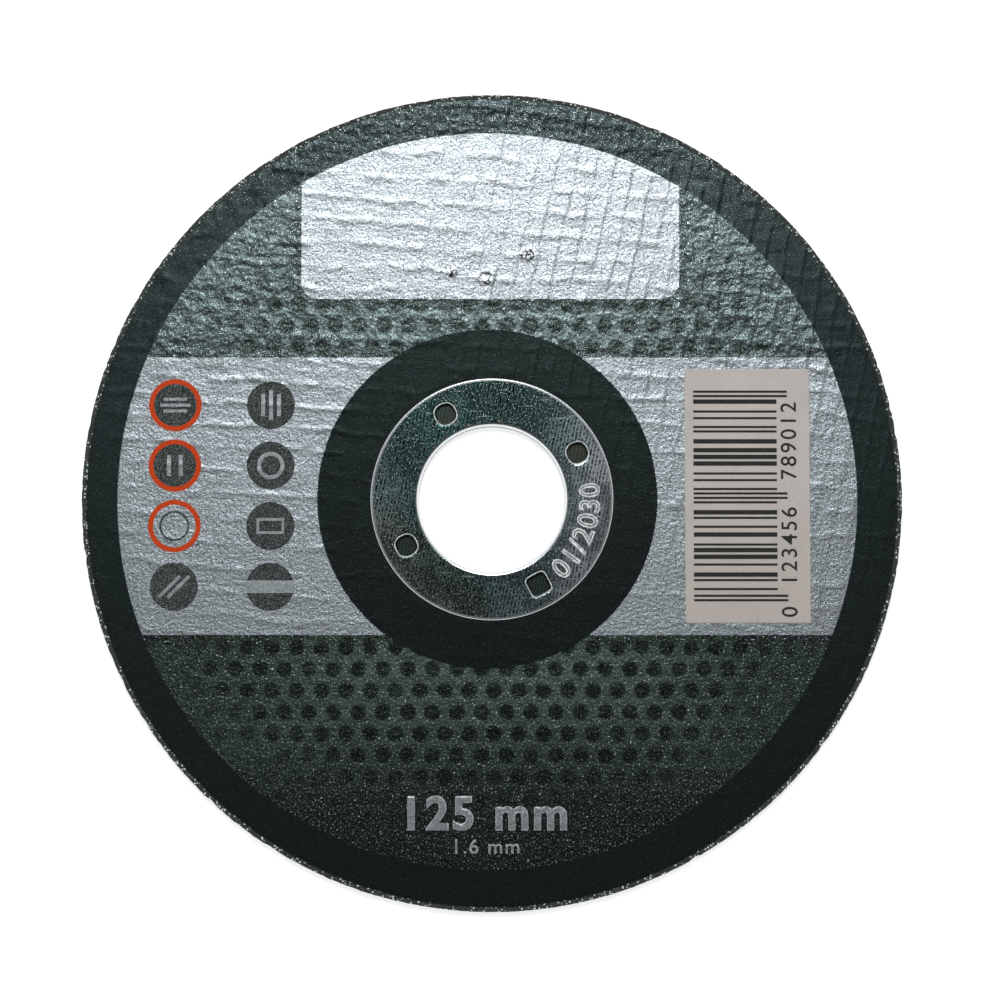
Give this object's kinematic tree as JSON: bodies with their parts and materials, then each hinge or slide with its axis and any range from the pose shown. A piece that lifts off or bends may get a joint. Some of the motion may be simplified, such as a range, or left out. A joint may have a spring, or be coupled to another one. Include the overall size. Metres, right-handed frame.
{
  "type": "cut off wheel",
  "caption": "Thin flat cut off wheel for an angle grinder: a resin-bonded abrasive disc with a printed silver paper label, a barcode sticker and a pressed steel ring in its bore.",
  "frame": {"origin": "on the wheel's axis at its back face", "axes": "+Z along the bore axis towards the label, +Y towards the top of the print, +X towards the sticker"},
  "size_m": [0.125, 0.125, 0.0018],
  "materials": {
    "abrasive": "rough resin-bonded grain",
    "label_paper": "metallised paper, satin, sparkling grain",
    "dark_ink": "satin black ink",
    "grey_ink": "dotted grey ink, sparkling",
    "orange_ink": "satin orange ink",
    "ring_steel": "drawn and pressed, lightly tarnished",
    "sticker_paper": "matt paper",
    "bar_ink": "matt black ink"
  },
  "bodies": {
    "root": {"abrasive_disc": "abrasive", "label": "label_paper", "label_dark_ink": "dark_ink", "label_grey_ink": "grey_ink", "label_orange_ink": "orange_ink", "arbor_ring": "ring_steel", "barcode_sticker": "sticker_paper", "sticker_bars": "bar_ink"}
  },
  "joints": []
}
